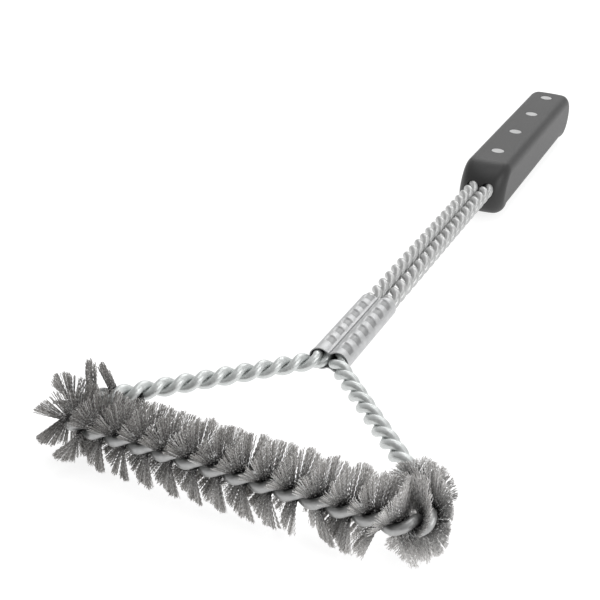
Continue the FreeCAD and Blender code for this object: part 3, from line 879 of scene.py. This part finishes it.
def round_bar(centre, axis, radius, start, end):
    """Points and faces of a closed round bar from start to end along an axis (1 is Y, 2 is Z)."""
    points = []
    for reach in (start, end):
        for step in range(BAR_STEPS):
            turn = 2 * math.pi * step / BAR_STEPS
            point = [centre[0] + radius * math.cos(turn), centre[1], centre[2]]
            point[3 - axis] += radius * math.sin(turn)
            point[axis] = reach
            points.append(tuple(point))
    faces = grid_faces(2, BAR_STEPS)
    faces += [tuple(reversed(range(BAR_STEPS))), tuple(range(BAR_STEPS, 2 * BAR_STEPS))]
    return points, faces


def cut_away(piece, bars):
    """Takes each bar's volume out of the piece."""
    for points, faces in bars:
        cutter = add_mesh("cutter", points, faces)
        mesh = bmesh.new()
        mesh.from_mesh(cutter.data)
        bmesh.ops.recalc_face_normals(mesh, faces=mesh.faces)
        mesh.to_mesh(cutter.data)
        mesh.free()
        cut = piece.modifiers.new("cut", "BOOLEAN")
        cut.operation = "DIFFERENCE"
        cut.object = cutter
        shape = piece.evaluated_get(bpy.context.evaluated_depsgraph_get())
        whole = bpy.data.meshes.new_from_object(shape)
        piece.modifiers.clear()
        piece.data = whole
        bpy.data.objects.remove(cutter)


def make_handle():
    """Rings of the side outline from the left flat side to the right one, then the recesses.

    There is one recess for each plug and one socket for each rod.
    """
    outline = side_outline()
    half = HANDLE_WIDTH / 2
    flat = half - EDGE_ROUND
    turns = [math.pi / 2 * step / EDGE_STEPS for step in range(EDGE_STEPS + 1)]
    edge = [(EDGE_ROUND * math.sin(turn), EDGE_ROUND * (1 - math.cos(turn))) for turn in turns]
    edge.append((EDGE_ROUND, EDGE_ROUND + FLAT_MARGIN))
    rings = [(-flat - out, inset) for out, inset in reversed(edge)]
    rings += [(x, 0.0) for x in np.linspace(-flat, flat, FLAT_RINGS)[1:-1]]
    rings += [(flat + out, inset) for out, inset in edge]
    points = []
    for x, inset in rings:
        points += [(x, plan_rounded(x, y), z) for y, z in shrunk(outline, inset)]
    columns = len(outline)
    faces = grid_faces(len(rings), columns)
    faces.append(tuple(range(columns)))
    faces.append(tuple(reversed(range(len(points) - columns, len(points)))))
    piece = add_mesh("handle_body", points, faces)
    bars = []
    for plug in range(1, PLUG_COUNT + 1):
        low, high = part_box(f"plug_{plug}")
        middle = Vector((low + high) / 2) / MM - HOME
        bottom = low.z / MM - HOME.z - RECESS_GAP
        bars.append(round_bar(middle, 2, PLUG_DIAMETER / 2 + RECESS_GAP, bottom,
                              HANDLE_TOP + PLUG_DIAMETER))
    for side in (1, -1):
        bars.append(round_bar((side * half_rods, 0, 0), 1, ROPE_RADIUS + RECESS_GAP,
                              HANDLE_FRONT - NOSE_ROUND, ROD_END + RECESS_GAP))
    cut_away(piece, bars)
    piece.data.set_sharp_from_angle(angle=SHARP_ANGLE)
    finish_piece(piece, HANDLE, "handle_plastic", "handle")


make_handle()

# ---------------------------------------------------------------------------------------------
# The plugs
# ---------------------------------------------------------------------------------------------

# The face of a plug from its middle to its edge: share of the radius, and metres below its top.
PLUG_FACE = ((0.0, 0.0002), (0.72, 0.00015), (0.88, 0.0), (0.97, 0.00008), (1.0, 0.0004))
PLUG_STEPS = 48


def make_plug(number):
    """A round plug with a soft rim and a slightly sunk face."""
    low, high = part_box(f"plug_{number}")
    middle = (low + high) / 2
    radius = PLUG_DIAMETER / 2 * MM
    profile = [(radius * share, high.z - sunk) for share, sunk in PLUG_FACE]
    profile.append((radius, low.z))
    turns = [2 * math.pi * step / PLUG_STEPS for step in range(PLUG_STEPS)]
    points = [(middle.x, middle.y, profile[0][1])]
    for reach, height in profile[1:]:
        points += [(middle.x + reach * math.cos(turn), middle.y + reach * math.sin(turn), height)
                   for turn in turns]
    points.append((middle.x, middle.y, low.z))
    nexts = [(step + 1) % PLUG_STEPS for step in range(PLUG_STEPS)]
    faces = [(0, 1 + step, 1 + after) for step, after in enumerate(nexts)]
    faces += [tuple(reversed(face))
              for face in grid_faces(len(profile) - 1, PLUG_STEPS, start=1)]
    last = len(points) - 1
    first = last - PLUG_STEPS
    faces += [(last, first + after, first + step) for step, after in enumerate(nexts)]
    piece = add_mesh(f"handle_plug_{number}", points, faces, scaled=False)
    finish_piece(piece, PLUG, "plug_plastic", f"plug_{number}")


for number in range(1, PLUG_COUNT + 1):
    make_plug(number)

# ---------------------------------------------------------------------------------------------
# Studio: floor, light and camera
# ---------------------------------------------------------------------------------------------
FLOOR_SIZE = 6.0
FLOOR_DROP = 0.0002


def make_floor():
    """A wide pale floor just under the object."""
    half = FLOOR_SIZE / 2
    floor = add_mesh("studio_floor", [(-half, -half, 0), (half, -half, 0), (half, half, 0),
                                      (-half, half, 0)], [(0, 1, 2, 3)], scaled=False)
    floor.location.z = cad_low.z - FLOOR_DROP
    floor.data.materials.append(floor_paint())


def make_light(name, place, aim, size, brightness):
    """A rectangular soft light of a given size in metres and of an even brightness."""
    lamp = bpy.data.lights.new(name, "AREA")
    lamp.shape = "RECTANGLE"
    lamp.size, lamp.size_y = size
    lamp.energy = brightness * math.pi * size[0] * size[1]
    item = bpy.data.objects.new(name, lamp)
    item.location = place
    item.rotation_mode = "QUATERNION"
    item.rotation_quaternion = (Vector(aim) - Vector(place)).to_track_quat("-Z", "Y")
    bpy.context.scene.collection.objects.link(item)


def light_world():
    """A soft surround, bright behind the object and darker on the camera's side."""
    world = bpy.data.worlds.new("studio")
    world.use_nodes = True
    nodes = world.node_tree.nodes
    links = world.node_tree.links
    place = nodes.new("ShaderNodeTexCoord").outputs["Generated"]
    split = nodes.new("ShaderNodeSeparateXYZ")
    links.new(place, split.inputs[0])
    fade = nodes.new("ShaderNodeMapRange")
    links.new(split.outputs["Y"], fade.inputs["Value"])
    for label, value in (("From Min", -0.8), ("From Max", 0.9), ("To Min", 0.36), ("To Max", 0.8)):
        fade.inputs[label].default_value = value
    links.new(fade.outputs[0], nodes["Background"].inputs["Strength"])
    nodes["Background"].inputs["Color"].default_value = (1.0, 1.0, 1.0, 1.0)
    bpy.context.scene.world = world


make_floor()
make_light("back_softbox", place=(-0.3, 1.5, 1.2), aim=(0.0, 0.1, 0.0), size=(1.6, 0.7),
           brightness=2.2)
make_light("right_softbox", place=(1.2, -0.35, 0.7), aim=(0.0, -0.2, 0.02), size=(0.8, 0.8),
           brightness=2.8)
make_light("overhead", place=(0.0, 0.0, 1.4), aim=(0.0, 0.0, 0.0), size=(0.8, 0.8),
           brightness=1.6)
light_world()
bpy.context.scene.view_settings.view_transform = "Standard"

# The camera: its angles in radians, its distance and target in millimetres about the crossbar, and
# its lens and film width in millimetres.
CAMERA_AZIMUTH = 0.4057
CAMERA_ELEVATION = 0.4825
CAMERA_ROLL = 0.0488
CAMERA_DISTANCE = 567.35
CAMERA_TARGET = (-35.45, 141.14, 0.0)
CAMERA_LENS = 69.67
FILM_WIDTH = 36.0
NEAREST_SEEN = 0.01

back = Vector((math.sin(CAMERA_AZIMUTH) * math.cos(CAMERA_ELEVATION),
               -math.cos(CAMERA_AZIMUTH) * math.cos(CAMERA_ELEVATION),
               math.sin(CAMERA_ELEVATION)))
camera = bpy.data.objects.new("camera", bpy.data.cameras.new("camera"))
camera.data.lens = CAMERA_LENS
camera.data.sensor_width = FILM_WIDTH
camera.data.clip_start = NEAREST_SEEN
camera.rotation_mode = "QUATERNION"
aim = (-back).to_track_quat("-Z", "Y")
aim.rotate(Matrix.Rotation(CAMERA_ROLL, 3, back))
camera.rotation_quaternion = aim
camera.location = Vector(placed([CAMERA_TARGET])[0]) + back * CAMERA_DISTANCE * MM
bpy.context.scene.collection.objects.link(camera)
bpy.context.scene.camera = camera
